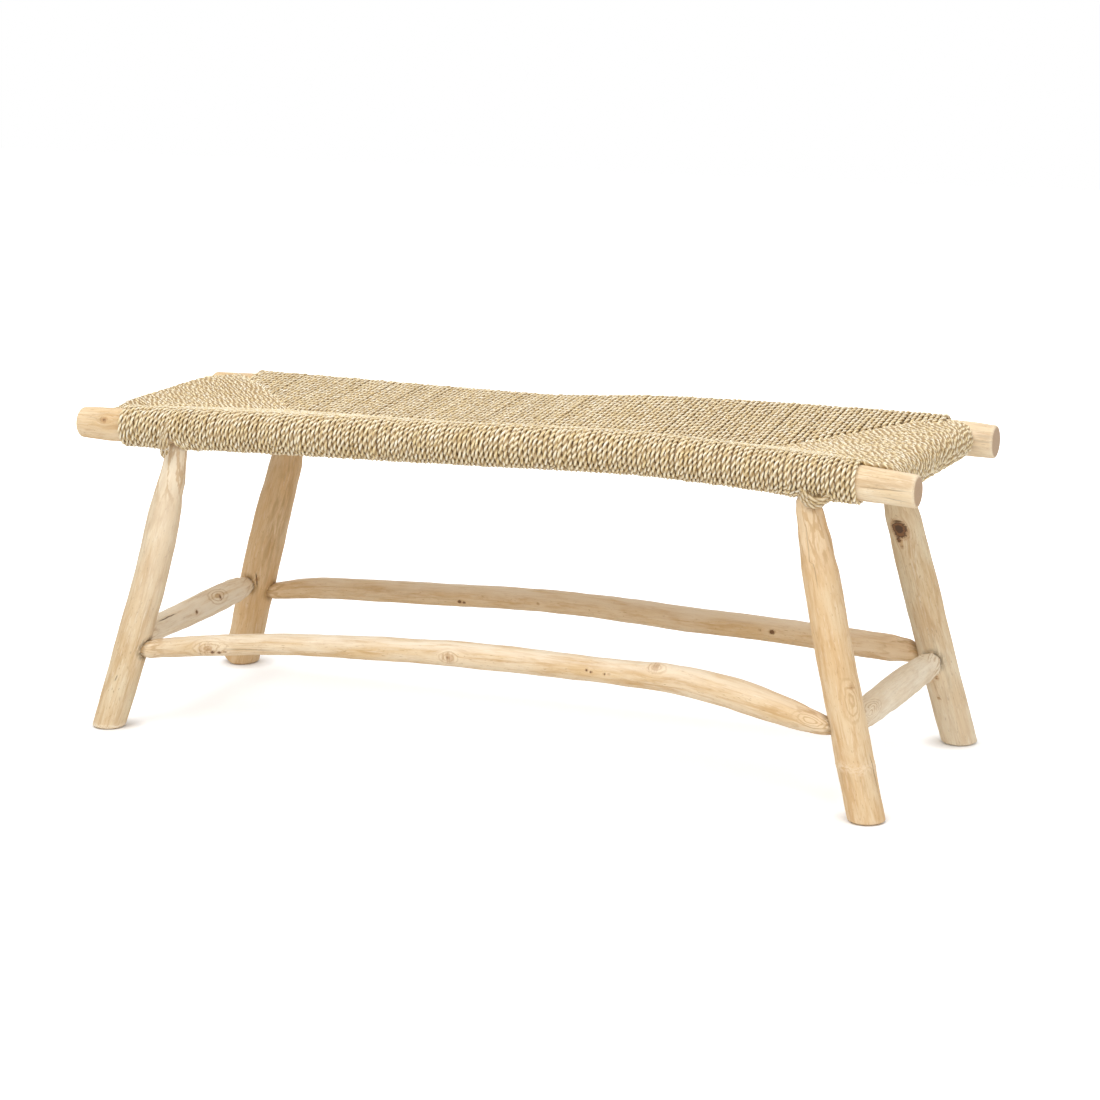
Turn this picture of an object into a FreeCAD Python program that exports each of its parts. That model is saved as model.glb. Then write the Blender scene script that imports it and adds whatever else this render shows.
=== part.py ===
import FreeCAD, Part
import math
import os
import Sketcher
from FreeCAD import Placement, Rotation, Vector

# A stick bench: debarked branches joined by whittled noses in bored mortises, and a seat of rope that is
# wound round four rails and woven to a seam in the middle. The branches are shaved with a drawknife, so each
# has a round of narrow flats. X runs along the bench, Y from front to back and Z up, in millimetres.

doc = FreeCAD.newDocument("StickBench")
sheet = doc.addObject("Spreadsheet::Sheet", "Sizes")

# Joints, seat frame and rope
SIZES = {
    "flats": 16,
    "nose_diameter": 26,
    "nose_tip_diameter": 20,
    "nose_depth": 15,
    "nose_neck": 5,
    "mortise_diameter": 27.2,
    "mortise_depth": 16.5,
    "mortise_lead": 14,
    "leg_mortise_depth": 22,
    "low_height": 118,
    "mid_height": 225,
    "high_height": 310,
    "neck_height": 386,
    "mouth_height": 402,
    "tip_height": 420,
    "foot_edge": 3,
    "rail_end_round": 2,
    "rail_y": 168,
    "rope_thickness": 6.5,
    "rope_clearance": 0.4,
    "leg_opening": 36,
    "seam_height": 428,
    "seam_thickness": 10,
    "seam_gap": 0.8,
    "right_apex": 354,
    "left_apex": 370,
    "mitre_reach": 137,
    "mitre_gap": 0.5,
    "cut_margin": 400,
    "front_seat_rail_start": -603,
    "front_seat_rail_finish": 597,
    "back_seat_rail_start": -585,
    "back_seat_rail_finish": 603,
    "left_end_rail_x": -553,
    "right_end_rail_x": 547,
    "end_rail_seat": 22.4,
}

# Each leg leans out to its foot. X is followed up the branch, which isn't straight, and Y is a straight
# lean. The last five values are the diameters up to the shoulder, where whittling starts, and at the neck.
LEG_COLUMNS = ("foot_x", "low_x", "mid_x", "high_x", "tip_x", "foot_y", "tip_y",
               "foot_diameter", "low_diameter", "mid_diameter", "high_diameter", "neck_diameter")
LEGS = {
    "front_left_leg": (-558, -522, -491, -471, -448, -198, -168, 47, 50, 48, 46, 31),
    "front_right_leg": (549, 520, 494, 475, 450, -198, -168, 49, 50, 48.5, 47.5, 36),
    "back_left_leg": (-567, -535, -503, -475.5, -448, 195.5, 168, 54, 56, 55, 51, 35),
    "back_right_leg": (556, 524.5, 497.5, 476, 449, 197.5, 168, 50, 52, 52, 49, 35),
}

# Branches that lie along or across the bench. Each has the height of its start, how far its end is higher
# and further to the left of the way it runs, and its stations: share of the length, rise over the chord
# and diameter.
BRANCHES = {
    "front_seat_rail": (424, -4, 0, ((0, 0, 42.5), (0.058, 0, 46), (0.25, 6, 45.5), (0.5, 13.5, 45.5),
                                     (0.68, 19, 45), (0.84, 11.5, 45), (0.937, 5.5, 45), (1, 0, 42))),
    "back_seat_rail": (425, 2, 0, ((0, 0, 44), (0.062, -0.5, 46), (0.2, -2.5, 46), (0.45, -6, 46),
                                   (0.58, 2, 46), (0.73, 4.5, 46), (0.942, 3, 46.5), (1, 0, 45))),
    "left_end_rail": (427, 0, 8, ((0.1, 0, 36), (0.9, 0, 36))),
    "right_end_rail": (426, 3, -8, ((0.1, 0, 36), (0.9, 0, 36))),
    "front_stretcher": (115, 1.5, -2, ((0.07, 11, 29), (0.25, 30.5, 30), (0.5, 41, 34), (0.7, 40, 33.5),
                                       (0.8, 38, 38), (0.885, 25, 42), (0.965, 6.5, 35))),
    "back_stretcher": (117, 6, 2, ((0.08, 10.5, 31), (0.27, 18.5, 33), (0.47, 23.5, 33.5),
                                   (0.655, 16.5, 35.5), (0.8, 12, 35), (0.96, 2.5, 37))),
    "left_stretcher": (127, 2, 13, ((0.12, 0.5, 35), (0.5, 0, 38), (0.75, 0, 39), (0.935, 0, 33.5))),
    "right_stretcher": (117, 1, -4.5, ((0.12, 1, 36), (0.4, 1.5, 41), (0.7, 1, 41), (0.94, 0, 36))),
}
STATION_COLUMNS = ("share", "rise", "diameter")

for leg, values in LEGS.items():
    for column, value in zip(LEG_COLUMNS, values):
        SIZES["%s_%s" % (leg, column)] = value
for branch, (height, end_rise, end_sway, stations) in BRANCHES.items():
    SIZES[branch + "_height"] = height
    SIZES[branch + "_end_rise"] = end_rise
    SIZES[branch + "_end_sway"] = end_sway
    for number, station in enumerate(stations, start=1):
        for column, value in zip(STATION_COLUMNS, station):
            SIZES["%s_%s_%d" % (branch, column, number)] = value

for row, (alias, value) in enumerate(SIZES.items(), start=1):
    sheet.set("A%d" % row, alias)
    sheet.set("B%d" % row, str(value))
    sheet.setAlias("B%d" % row, alias)
doc.recompute()


def size(alias):
    """The number in one cell."""
    return float(sheet.get(alias))


def cell(alias):
    """The same cell as an expression."""
    return "Sizes." + alias


def origin_plane(body, role):
    return next(plane for plane in body.Origin.OriginFeatures if plane.Role == role)


def place_sketch(body, name, role, across, up, along):
    """A sketch on one of the body's own planes, moved by three expressions."""
    sketch = body.newObject("Sketcher::SketchObject", name)
    sketch.AttachmentSupport = (origin_plane(body, role), "")
    sketch.MapMode = "FlatFace"
    sketch.setExpression("AttachmentOffset.Base.x", across)
    sketch.setExpression("AttachmentOffset.Base.y", up)
    sketch.setExpression("AttachmentOffset.Base.z", along)
    return sketch


# Sketcher's own numbers: the horizontal axis, the origin, and a line's or circle's points
AXIS = -1
ORIGIN = (-1, 1)
START = 1
END = 2
CENTRE = 3


def draw_flats(sketch, centre, radius, first, count):
    """Equal flats whose corners lie on a construction circle, counted round from the horizontal."""
    step = 2 * math.pi / size("flats")
    corners = [centre + Vector(math.cos(step * corner), math.sin(step * corner), 0) * radius
               for corner in range(first, first + count + 1)]
    circle = sketch.addGeometry(Part.Circle(centre, Vector(0, 0, 1), radius), True)
    flats = [sketch.addGeometry(Part.LineSegment(*ends)) for ends in zip(corners, corners[1:])]
    rules = [Sketcher.Constraint("PointOnObject", flat, START, circle) for flat in flats]
    for before, after in zip(flats, flats[1:]):
        rules.append(Sketcher.Constraint("Coincident", before, END, after, START))
        rules.append(Sketcher.Constraint("Equal", before, after))
    sketch.addConstraint(rules)
    return circle, flats


def drive(sketch, name, constraint, expression):
    """Add a dimension and bind it."""
    sketch.renameConstraint(sketch.addConstraint(constraint), name)
    sketch.setExpression("Constraints." + name, expression)


def round_section(body, name, role, across, up, along, diameter):
    """A closed round of flats, its diameter measured over the corners."""
    sketch = place_sketch(body, name, role, across, up, along)
    radius = size("nose_diameter") / 2
    circle, flats = draw_flats(sketch, Vector(0, 0, 0), radius, 0, int(size("flats")))
    sketch.addConstraint([Sketcher.Constraint("Coincident", flats[-1], END, flats[0], START),
                          Sketcher.Constraint("Coincident", circle, CENTRE, *ORIGIN),
                          Sketcher.Constraint("PointOnObject", flats[0], START, AXIS)])
    drive(sketch, "diameter", Sketcher.Constraint("Diameter", circle, 2 * radius), diameter)
    return sketch


# How an end is worked: depths from it, and what comes off the diameter there, as shares of the edge's size
QUARTER_ROUND = ((0, 2), (0.3, 0.57), (1, 0))
EASED_EDGE = ((0, 2), (1, 0))


def loft(body, kind, name, sections):
    """A loft that runs straight from each section to the next."""
    feature = body.newObject(kind, name)
    feature.Profile = sections[0]
    feature.Sections = sections[1:]
    feature.Ruled = True
    doc.recompute()
    return feature


def smoothed(stations, first, last):
    """Stations, each a tuple of expressions, and one more on the curve after each from first to last."""
    flowing = []
    for index, station in enumerate(stations):
        flowing.append(station)
        if first <= index <= last:
            before = stations[max(index - 1, 0)]
            after = stations[index + 1]
            beyond = stations[min(index + 2, len(stations) - 1)]
            flowing.append(tuple("(9 * ((%s) + (%s)) - (%s) - (%s)) / 16" % values
                                 for values in zip(station, after, before, beyond)))
    return flowing


def worked_end(station, inward, edge, edge_size):
    """Sections that take an end station from its flat face to the full diameter."""
    across, up, along, diameter = station
    return [(across, up, "%s + %d * %s * %s" % (along, inward, depth, edge_size),
             "%s - %s * %s" % (diameter, cut, edge_size)) for depth, cut in edge]


def branch_solid(body, stations):
    """Loft a branch through round sections, one for each station: across, up, along and diameter."""
    sections = [round_section(body, "%s_section_%d" % (body.Label, number), "XY_Plane", *station)
                for number, station in enumerate(stations, start=1)]
    loft(body, "PartDesign::AdditiveLoft", body.Label + "_branch", sections)


def bore(body, name, mouth, inward, diameter, depth):
    """Drill from outside the mouth to a depth inside it, along a world direction."""
    drill = body.newObject("PartDesign::SubtractiveCylinder", name)
    drill.setExpression("Radius", "%s / 2" % diameter)
    drill.setExpression("Height", "%s + %s" % (depth, cell("mortise_lead")))
    start = mouth - inward * size("mortise_lead")
    drill.Placement = body.Placement.inverse().multiply(Placement(start, Rotation(Vector(0, 0, 1), inward)))
    before = body.Shape.Volume
    doc.recompute()
    assert body.Shape.Volume < before, name + " cuts nothing"


def new_body(label, placement):
    body = doc.addObject("PartDesign::Body", label)
    body.Label = label
    body.Placement = placement
    return body


# Legs
def make_leg(leg):
    """A branch leg in level sections, whittled from the shoulder to a nose for the seat rail."""
    body = new_body(leg, Placement(Vector(size(leg + "_foot_x"), size(leg + "_foot_y"), 0), Rotation()))
    lean = "(Sizes.{0}_tip_y - Sizes.{0}_foot_y) / Sizes.tip_height".format(leg)
    stations = [("0", "0", "0", cell(leg + "_foot_diameter"))]
    for place in ("low", "mid", "high"):
        height = cell(place + "_height")
        across = "Sizes.{0}_{1}_x - Sizes.{0}_foot_x".format(leg, place)
        stations.append((across, "%s * %s" % (lean, height), height, cell("%s_%s_diameter" % (leg, place))))
    whittled = (("neck", leg + "_neck_diameter"), ("mouth", "nose_diameter"), ("tip", "nose_tip_diameter"))
    for place, diameter in whittled:
        height = cell(place + "_height")
        share = "(%s - Sizes.high_height) / (Sizes.tip_height - Sizes.high_height)" % height
        across = ("Sizes.{0}_high_x - Sizes.{0}_foot_x + (Sizes.{0}_tip_x - Sizes.{0}_high_x) * {1}"
                  .format(leg, share))
        stations.append((across, "%s * %s" % (lean, height), height, cell(diameter)))
    foot = worked_end(stations[0], 1, EASED_EDGE, cell("foot_edge"))
    branch_solid(body, foot + smoothed(stations, 1, 4)[1:])
    return body


def leg_point(leg, place):
    """The middle of a leg at a named height, in the world."""
    height = size(place + "_height")
    foot_y = size(leg + "_foot_y")
    y = foot_y + (size(leg + "_tip_y") - foot_y) * height / size("tip_height")
    return Vector(size("%s_%s_x" % (leg, place)), y, height)


def leg_mouth(leg):
    """Where a leg's nose enters its rail, and the unit direction in which it goes in."""
    tip = leg_point(leg, "tip")
    inward = (tip - leg_point(leg, "high")).normalize()
    return tip - inward * ((size("tip_height") - size("mouth_height")) / inward.z), inward


# Branches along X or Y
ALONG_X = Rotation(Vector(0, 1, 0), Vector(0, 0, 1), Vector(1, 0, 0), "ZXY")
ALONG_Y = Rotation(Vector(-1, 0, 0), Vector(0, 0, 1), Vector(0, 1, 0), "ZXY")


def station_offsets(branch, number, length):
    """Expressions for one station: across, up and along from the start of the branch."""
    share = cell("%s_share_%d" % (branch, number))
    across = "Sizes.%s_end_sway * %s" % (branch, share)
    up = "Sizes.%s_rise_%d + Sizes.%s_end_rise * %s" % (branch, number, branch, share)
    return across, up, "(%s) * %s" % (length, share)


def branch_stations(branch, length):
    """The driving stations of a branch as expressions: across, up, along and diameter."""
    return [station_offsets(branch, number, length) + (cell("%s_diameter_%d" % (branch, number)),)
            for number in range(1, len(BRANCHES[branch][3]) + 1)]


def make_branch(branch, start, rotation, stations):
    """A branch laid from its start along X or Y."""
    body = new_body(branch, Placement(start, rotation))
    branch_solid(body, stations)
    return body


def with_noses(branch, length):
    """The stations of a branch with a whittled nose past each end, for mortises that far apart."""
    end = (cell(branch + "_end_sway"), cell(branch + "_end_rise"))
    nose = cell("nose_diameter")
    tip = cell("nose_tip_diameter")
    stations = [("0", "0", "-Sizes.nose_depth", tip), ("0", "0", "Sizes.nose_neck", nose)]
    stations += branch_stations(branch, length)
    stations += [end + (length + " - Sizes.nose_neck", nose), end + (length + " + Sizes.nose_depth", tip)]
    return stations


def rail_stations(rail):
    """The stations of a long rail. The first and last are its bare ends."""
    stations = branch_stations(rail, "(Sizes.{0}_finish - Sizes.{0}_start)".format(rail))
    return smoothed(stations, 1, len(stations) - 3)


def branch_end(body, branch, length):
    """The world point where a branch enters its second mortise."""
    return body.Placement.multVec(Vector(size(branch + "_end_sway"), size(branch + "_end_rise"), length))


legs = {leg: make_leg(leg) for leg in LEGS}

# Long seat rails, with mortises for the leg noses below
rails = {}
for side, sign in (("front", -1), ("back", 1)):
    rail = side + "_seat_rail"
    rail_start = Vector(size(rail + "_start"), sign * size("rail_y"), size(rail + "_height"))
    stations = rail_stations(rail)
    near_end = worked_end(stations[0], 1, QUARTER_ROUND, cell("rail_end_round"))
    far_end = worked_end(stations[-1], -1, QUARTER_ROUND, cell("rail_end_round"))
    rails[rail] = make_branch(rail, rail_start, ALONG_X, near_end + stations[1:-1] + far_end[::-1])
    for hand in ("left", "right"):
        leg = "%s_%s_leg" % (side, hand)
        mouth, inward = leg_mouth(leg)
        bore(rails[rail], leg + "_mortise", mouth, inward, cell("mortise_diameter"),
             cell("leg_mortise_depth"))

# Short end rails, let into the inner sides of the long ones
for hand in ("left", "right"):
    rail = hand + "_end_rail"
    seat = size("rail_y") - size("end_rail_seat")
    rail_start = Vector(size(rail + "_x"), -seat, size(rail + "_height"))
    stations = with_noses(rail, "2 * (Sizes.rail_y - Sizes.end_rail_seat)")
    rails[rail] = make_branch(rail, rail_start, ALONG_Y, stations)
    far_end = branch_end(rails[rail], rail, 2 * seat)
    for side, mouth, inward in (("front", rail_start, Vector(0, -1, 0)), ("back", far_end, Vector(0, 1, 0))):
        bore(rails[side + "_seat_rail"], rail + "_mortise", mouth, inward, cell("mortise_diameter"),
             cell("mortise_depth"))

# Stretchers between the legs, a little above the feet
STRETCHERS = {
    "front_stretcher": ("front_left_leg", "front_right_leg", ALONG_X, Vector(1, 0, 0)),
    "back_stretcher": ("back_left_leg", "back_right_leg", ALONG_X, Vector(1, 0, 0)),
    "left_stretcher": ("front_left_leg", "back_left_leg", ALONG_Y, Vector(0, 1, 0)),
    "right_stretcher": ("front_right_leg", "back_right_leg", ALONG_Y, Vector(0, 1, 0)),
}
stretchers = {}
for stretcher, (near_leg, far_leg, rotation, direction) in STRETCHERS.items():
    near = leg_point(near_leg, "low")
    far = leg_point(far_leg, "low")
    near_radius = size(near_leg + "_low_diameter") / 2
    far_radius = size(far_leg + "_low_diameter") / 2
    start = near + direction * near_radius
    start.z = size(stretcher + "_height")
    length = (far - near).dot(direction) - near_radius - far_radius
    stations = with_noses(stretcher, "%.3f" % length)
    stations = smoothed(stations, 1, len(stations) - 3)
    stretchers[stretcher] = make_branch(stretcher, start, rotation, stations)
    end = branch_end(stretchers[stretcher], stretcher, length)
    bore(legs[near_leg], stretcher + "_mortise", start, direction * -1, cell("mortise_diameter"),
         cell("mortise_depth"))
    bore(legs[far_leg], stretcher + "_mortise", end, direction * 1, cell("mortise_diameter"),
         cell("mortise_depth"))


# Woven rope seat
def panel_section(body, name, along, distance, height, radius, tip_distance, rough_distance):
    """A loop of rope seen along its rail: round its outer side, and drawn in to the seam on both faces."""
    sketch = place_sketch(body, name, "YZ_Plane", "0", "0", along)
    rough_radius = size("nose_diameter")
    centre = Vector(-rough_distance, size("seam_height"), 0)
    quarter = int(size("flats") / 4)
    circle, flats = draw_flats(sketch, centre, rough_radius, quarter, 2 * quarter)
    tip_top = Vector(-rough_distance / 2, size("seam_height") + size("seam_thickness") / 2, 0)
    tip_bottom = tip_top - Vector(0, size("seam_thickness"), 0)
    upper = sketch.addGeometry(Part.LineSegment(centre + Vector(0, rough_radius, 0), tip_top))
    tip = sketch.addGeometry(Part.LineSegment(tip_top, tip_bottom))
    lower = sketch.addGeometry(Part.LineSegment(tip_bottom, centre - Vector(0, rough_radius, 0)))
    sketch.addConstraint([Sketcher.Constraint("PointOnObject", flats[-1], END, circle),
                          Sketcher.Constraint("Vertical", circle, CENTRE, flats[0], START),
                          Sketcher.Constraint("Vertical", circle, CENTRE, flats[-1], END),
                          Sketcher.Constraint("Coincident", flats[0], START, upper, START),
                          Sketcher.Constraint("Coincident", upper, END, tip, START),
                          Sketcher.Constraint("Coincident", tip, END, lower, START),
                          Sketcher.Constraint("Coincident", lower, END, flats[-1], END),
                          Sketcher.Constraint("Vertical", tip)])
    drive(sketch, "distance", Sketcher.Constraint("DistanceX", circle, CENTRE, *ORIGIN, -centre.x), distance)
    drive(sketch, "height", Sketcher.Constraint("DistanceY", *ORIGIN, circle, CENTRE, centre.y), height)
    drive(sketch, "radius", Sketcher.Constraint("Radius", circle, rough_radius), radius)
    drive(sketch, "tip_distance", Sketcher.Constraint("DistanceX", tip, START, *ORIGIN, -tip_top.x),
          tip_distance)
    drive(sketch, "tip_height", Sketcher.Constraint("DistanceY", *ORIGIN, tip, END, tip_bottom.y),
          "Sizes.seam_height - Sizes.seam_thickness / 2")
    drive(sketch, "thickness", Sketcher.Constraint("DistanceY", tip, END, tip, START, size("seam_thickness")),
          "Sizes.seam_thickness")
    return sketch


def cut_plan(body, name, points):
    """Cut a plan outline, given as pairs of expressions, right through the panel from below."""
    sketch = place_sketch(body, name, "XY_Plane", "0", "0", "0")
    count = len(points)
    turns = [2 * math.pi * index / count for index in range(count)]
    corners = [Vector(math.cos(turn), math.sin(turn), 0) * size("mitre_reach") for turn in turns]
    for index in range(count):
        sketch.addGeometry(Part.LineSegment(corners[index], corners[(index + 1) % count]))
    for index in range(count):
        sketch.addConstraint(Sketcher.Constraint("Coincident", index, END, (index + 1) % count, START))
    for index, (across, up) in enumerate(points):
        for axis, rough, expression in (("X", corners[index].x, across), ("Y", corners[index].y, up)):
            drive(sketch, "%s_%d" % (axis.lower(), index),
                  Sketcher.Constraint("Distance" + axis, *ORIGIN, index, START, rough), expression)
    before = body.Shape.Volume
    pocket = body.newObject("PartDesign::Pocket", name + "_cut")
    pocket.Profile = sketch
    pocket.Reversed = True
    pocket.setExpression("Length", "2 * Sizes.cut_margin")
    doc.recompute()
    assert body.Shape.Volume < before, name + " cuts nothing"


def make_panel(label, turn, stations, tip_distance, rough_distance):
    """A panel in the frame of the front one, turned about Z to its own side of the bench."""
    body = new_body(label, Placement(Vector(0, 0, 0), Rotation(Vector(0, 0, 1), turn)))
    outlines = []
    tunnels = []
    for number, (along, distance, height, diameter) in enumerate(stations, start=1):
        radius = "%s / 2 + Sizes.rope_thickness" % diameter
        outlines.append(panel_section(body, "%s_outline_%d" % (label, number), along, distance, height,
                                      radius, tip_distance, rough_distance))
        tunnels.append(round_section(body, "%s_tunnel_%d" % (label, number), "YZ_Plane", "-(%s)" % distance,
                                     height, along, "%s + 2 * Sizes.rope_clearance" % diameter))
    loft(body, "PartDesign::AdditiveLoft", label + "_weave", outlines)
    before = body.Shape.Volume
    loft(body, "PartDesign::SubtractiveLoft", label + "_tunnel", tunnels)
    assert body.Shape.Volume < before, label + " has no tunnel for its rail"
    return body


def wrapped_stations(rail, sign):
    """The stations that a long rail's wraps cover, counted in the turned frame of its panel."""
    found = []
    for across, up, along, diameter in rail_stations(rail)[1:-1]:
        turned = "%d * (Sizes.%s_start + %s)" % (sign, rail, along)
        found.append((turned, "Sizes.rail_y", "Sizes.%s_height + %s" % (rail, up), diameter))
    return found


panels = {}
for side, turn, sign, near_apex, far_apex in (("front", 0, 1, "left_apex", "right_apex"),
                                              ("back", 180, -1, "right_apex", "left_apex")):
    label = side + "_seat_panel"
    rail = side + "_seat_rail"
    panel = make_panel(label, turn, wrapped_stations(rail, sign), "Sizes.seam_gap / 2", size("rail_y"))
    for hand, apex in ((-1, near_apex), (1, far_apex)):
        tip_x = "%d * (Sizes.%s - Sizes.mitre_gap)" % (hand, apex)
        corner_x = "%d * (Sizes.%s - Sizes.mitre_gap + Sizes.mitre_reach)" % (hand, apex)
        far_x = "%d * (Sizes.%s + Sizes.cut_margin)" % (hand, apex)
        cut_plan(panel, "%s_mitre_%s" % (label, apex),
                 ((tip_x, "Sizes.cut_margin"), (tip_x, "0"), (corner_x, "-Sizes.mitre_reach"),
                  (far_x, "-Sizes.mitre_reach"), (far_x, "Sizes.cut_margin")))
    for hand in ("left", "right"):
        leg = "%s_%s_leg" % (side, hand)
        mouth, inward = leg_mouth(leg)
        bore(panel, leg + "_opening", mouth, inward, cell("leg_opening"), cell("leg_mortise_depth"))
    panels[label] = panel

for hand, turn, sign in (("left", -90, -1), ("right", 90, 1)):
    label = hand + "_seat_panel"
    rail = hand + "_end_rail"
    apex = hand + "_apex"
    stations = []
    for share in (-1, 0, 1):
        along = "%d * (Sizes.mitre_reach - Sizes.mitre_gap)" % (share * sign)
        part_way = "(0.5 + %.1f * Sizes.mitre_reach / (Sizes.rail_y - Sizes.end_rail_seat))" % (0.5 * share)
        distance = "%d * (Sizes.%s_x - Sizes.%s_end_sway * %s)" % (sign, rail, rail, part_way)
        height = "Sizes.%s_height + Sizes.%s_end_rise * %s" % (rail, rail, part_way)
        stations.append((along, distance, height, cell(rail + "_diameter_1")))
    panel = make_panel(label, turn, stations, "Sizes.%s" % apex, abs(size(rail + "_x")))
    for hand_sign in (-1, 1):
        inner = "-(Sizes.%s)" % apex
        reach = "%d * Sizes.mitre_reach" % hand_sign
        far = "%d * Sizes.cut_margin" % hand_sign
        inner_end = "-(Sizes.%s + Sizes.mitre_reach)" % apex
        cut_plan(panel, "%s_mitre_%d" % (label, hand_sign + 1),
                 (("0", "0"), ("0", inner), (reach, inner_end), (far, inner_end), (far, "0")))
    panels[label] = panel

# Every piece has to be sound before any is written
doc.recompute()
for item in doc.Objects:
    problems = [state for state in item.State if state in ("Invalid", "Error")]
    assert not problems, "%s: %s" % (item.Label, problems)
pieces = {}
for group in (legs, rails, stretchers, panels):
    pieces.update(group)
for label, body in pieces.items():
    shape = body.Shape
    assert not shape.isNull(), label + " has no shape"
    assert shape.isValid(), label + " isn't valid"
    assert len(shape.Solids) == 1, "%s has %d solids" % (label, len(shape.Solids))

os.makedirs("parts", exist_ok=True)
for label, body in pieces.items():
    body.Shape.exportStep(os.path.join("parts", label + ".step"))
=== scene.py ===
import math

import bmesh
import bpy
import numpy as np
from mathutils import Matrix, Vector, noise


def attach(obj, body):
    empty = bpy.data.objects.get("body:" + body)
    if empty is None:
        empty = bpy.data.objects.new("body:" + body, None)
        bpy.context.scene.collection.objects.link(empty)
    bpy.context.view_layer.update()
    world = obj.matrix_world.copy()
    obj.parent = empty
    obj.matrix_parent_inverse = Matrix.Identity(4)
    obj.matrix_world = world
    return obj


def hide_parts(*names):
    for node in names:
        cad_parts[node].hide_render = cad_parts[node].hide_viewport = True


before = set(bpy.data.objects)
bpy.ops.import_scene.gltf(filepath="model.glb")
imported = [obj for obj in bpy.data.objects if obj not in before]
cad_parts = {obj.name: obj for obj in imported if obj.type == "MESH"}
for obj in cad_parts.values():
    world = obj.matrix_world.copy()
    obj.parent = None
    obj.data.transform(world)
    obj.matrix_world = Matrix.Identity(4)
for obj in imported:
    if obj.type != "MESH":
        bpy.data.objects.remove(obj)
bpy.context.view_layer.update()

# Legs
# Four debarked teak branches, bleached and rubbed smooth. Each is sawn flat at the foot, bored for its two
# stretchers, and whittled at the top to a neck whose nose is driven up into a hole in a seat rail.

MM = 0.001
AROUND = 60
RING_STEP = 2.5
CAP_SHARES = (0.02, 0.3, 0.6, 0.85)
ALONG_X, ALONG_Y, ALONG_Z = 0, 1, 2
JOINT_GAP = 0.6


def linear(hex_colour):
    """The linear colour of an sRGB hex value."""
    parts = [int(hex_colour[i:i + 2], 16) / 255 for i in (0, 2, 4)]
    return (*[c / 12.92 if c <= 0.04045 else ((c + 0.055) / 1.055) ** 2.4 for c in parts], 1.0)


def add(tree, kind, settings=None, out=0, **links):
    """Adds a shader node, sets it, links or fills its inputs (in_0 is input 0), and gives back one output."""
    node = tree.nodes.new("ShaderNode" + kind)
    for key, value in (settings or {}).items():
        setattr(node, key, value)
    for key, value in links.items():
        place = int(key[3:]) if key[3:].isdigit() else key.replace("_", " ")
        if isinstance(value, bpy.types.NodeSocket):
            tree.links.new(value, node.inputs[place])
        else:
            node.inputs[place].default_value = value
    return node.outputs[out]


FLATS_TO_ROUND = 0.99
RING_POINTS, ARC_POINTS = 10, 8
SAME_PLACE, ROUND_ENOUGH = 0.006, 0.5


def stations(node_name, along):
    """Place, centre and radius of each ring of a CAD branch, in mm, from one end to the other."""
    co = np.array([v.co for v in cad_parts[node_name].data.vertices]) / MM
    co = np.unique(np.round(co, 3), axis=0)
    across = [(along + 1) % 3, (along + 2) % 3]
    rows = []
    for place, count in zip(*np.unique(np.round(co[:, along], 2), return_counts=True)):
        ring = co[np.abs(co[:, along] - place) < SAME_PLACE][:, across]
        while count >= RING_POINTS and len(ring) >= ARC_POINTS:
            fit = np.linalg.lstsq(np.c_[2 * ring, np.ones(len(ring))], (ring ** 2).sum(1), rcond=None)[0]
            radius = math.sqrt(fit[2] + fit[0] ** 2 + fit[1] ** 2)
            off = np.abs(np.hypot(*(ring - fit[:2]).T) - radius)
            if off.max() < ROUND_ENOUGH:
                rows.append((place, fit[0], fit[1], radius * FLATS_TO_ROUND))
                break
            ring = ring[off < off.max()]
    return np.array(rows)


def smooth_through(at, places, values):
    """A smooth curve through the stations that doesn't overshoot them."""
    step = np.diff(places)
    rise = np.diff(values) / step
    slope = np.r_[rise[0], np.zeros(len(rise) - 1), rise[-1]]
    same = rise[:-1] * rise[1:] > 0
    slope[1:-1][same] = 2 / (1 / rise[:-1][same] + 1 / rise[1:][same])
    k = np.clip(np.searchsorted(places, at) - 1, 0, len(step) - 1)
    u = np.clip((at - places[k]) / step[k], 0, 1)
    start = (1 + 2 * u) * (1 - u) ** 2 * values[k] + u * (1 - u) ** 2 * step[k] * slope[k]
    finish = u ** 2 * (3 - 2 * u) * values[k + 1] + u ** 2 * (u - 1) * step[k] * slope[k + 1]
    return start + finish


def ramp(value, low, high):
    """0 below low, 1 above high, and smooth between."""
    u = np.clip((value - low) / (high - low), 0, 1)
    return u * u * (3 - 2 * u)


def lumps(place, angle, size, along_size, seed):
    """Noise on the skin of a branch, for places along it (mm) and angles round it."""
    shift = Vector((seed * 7.3, seed * 3.1, seed * 11.7))
    return np.array([
        noise.noise(Vector((math.cos(a) * size, math.sin(a) * size, p / along_size)) + shift)
        for p, a in zip(place, angle)
    ])


# Sizes of the skin's features, in mm or as shares: sawn edges, lumps (height, size round, length along and
# seed), knife cuts, knots, splits, rings, eyes of cut growth rings, worn feet, and the reach of the grime.
EDGE_LOSS, EDGE_DEPTH, END_CALM = 1.7, 4.0, 30
LUMPS = ((0.9, 0.9, 55, 0.0), (0.45, 1.7, 21, 0.37), (0.35, 3.2, 120, 0.61))
FULL_CUT, KNIFE_CUTS, KNIFE_TWIST, CUT_REACH = 0.55, 7, 90, 1.02
TOO_THIN, THICK_ENOUGH = 9, 14
KNOT_LONG, KNOT_EDGE, KNOT_SWELL, KNOT_DIP, DIP_EDGE = 1.25, 1.6, 0.8, 0.75, 1.9
BEND_LONG, BEND_REACH = 1.4, 9
SPLIT_TAPER, SPLIT_REACH = 8, 6
RING_WAVE, RING_WAVE_SIZE = 5, 1.3
EYE_DEPTH, EYE_EDGE = 5, 1.7
END_RUN, END_RINGS, FOOT_RUN = 6, 8, 20
STILL, SAWN_DEPTH = 0.05, 0.2
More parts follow.
